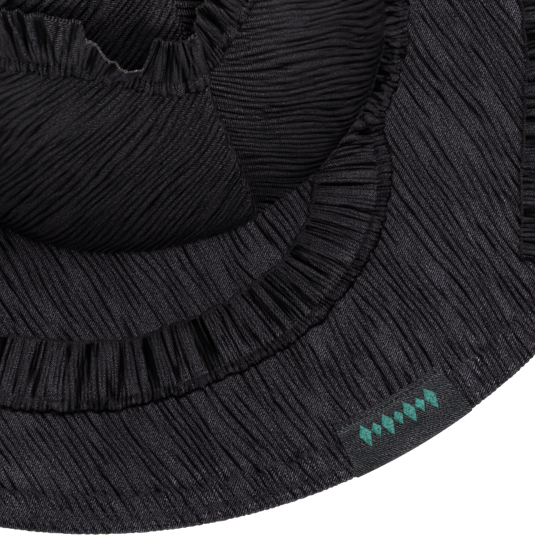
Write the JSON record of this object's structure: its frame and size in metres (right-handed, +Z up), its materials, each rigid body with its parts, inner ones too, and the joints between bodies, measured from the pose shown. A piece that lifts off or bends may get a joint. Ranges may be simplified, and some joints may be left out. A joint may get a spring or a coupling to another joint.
{
  "type": "witch hat",
  "caption": "Tall pointed soft costume hat with a wide wired brim and a gathered ruffle that winds from the brim's edge up the cone.",
  "frame": {"origin": "centre of the head opening, on the plane that the brim rests on", "axes": "+Z up the cone, -Y to the back, where the cone's seam and the edge label are, +X to the hat's right of the back seam as seen from behind"},
  "size_m": [0.425, 0.4254, 0.3539],
  "materials": {
    "crinkle_fabric": "matt crinkled plisse weave",
    "ruffle_fabric": "matt crinkled plisse weave, gathered",
    "foam_interlining": "needled felt",
    "lining_fabric": "satin",
    "sweatband_tape": "grosgrain",
    "label_tape": "woven satin tape",
    "embroidery_thread": "satin stitch",
    "millinery_wire": "drawn",
    "joining_tube": "crimped"
  },
  "bodies": {
    "crown": {"brim_underside": "crinkle_fabric", "brim_stiffener": "foam_interlining", "brim_top_fabric": "crinkle_fabric", "brim_hem_binding": "crinkle_fabric", "brim_edge_wire": "millinery_wire", "wire_joining_sleeve": "joining_tube", "edge_label": "label_tape", "label_embroidery": "embroidery_thread", "cone_lower_shell": "crinkle_fabric", "cone_lower_stiffener": "foam_interlining", "cone_lower_lining": "lining_fabric", "sweatband": "sweatband_tape", "cone_fold_sleeve": "crinkle_fabric", "brim_ruffle_outer": "ruffle_fabric", "brim_ruffle_inner": "ruffle_fabric", "crown_base_header": "ruffle_fabric", "cone_ruffle_first": "ruffle_fabric", "cone_ruffle_second": "ruffle_fabric", "cone_ruffle_third": "ruffle_fabric", "cone_ruffle_at_fold": "ruffle_fabric"},
    "tip": {"cone_upper_shell": "crinkle_fabric", "cone_upper_stiffener": "foam_interlining", "cone_upper_lining": "lining_fabric", "cone_ruffle_upper": "ruffle_fabric", "cone_ruffle_tip": "ruffle_fabric"}
  },
  "joints": [
    {"name": "tip_bend", "type": "hinge", "parent": "crown", "child": "tip", "pos_m": [-0.00051, -0.00072, 0.20398], "axis": [0.8192, -0.5736, 0], "range_deg": [-50, 50], "deforming": ["cone_fold_sleeve", "cone_ruffle_at_fold"]}
  ]
}
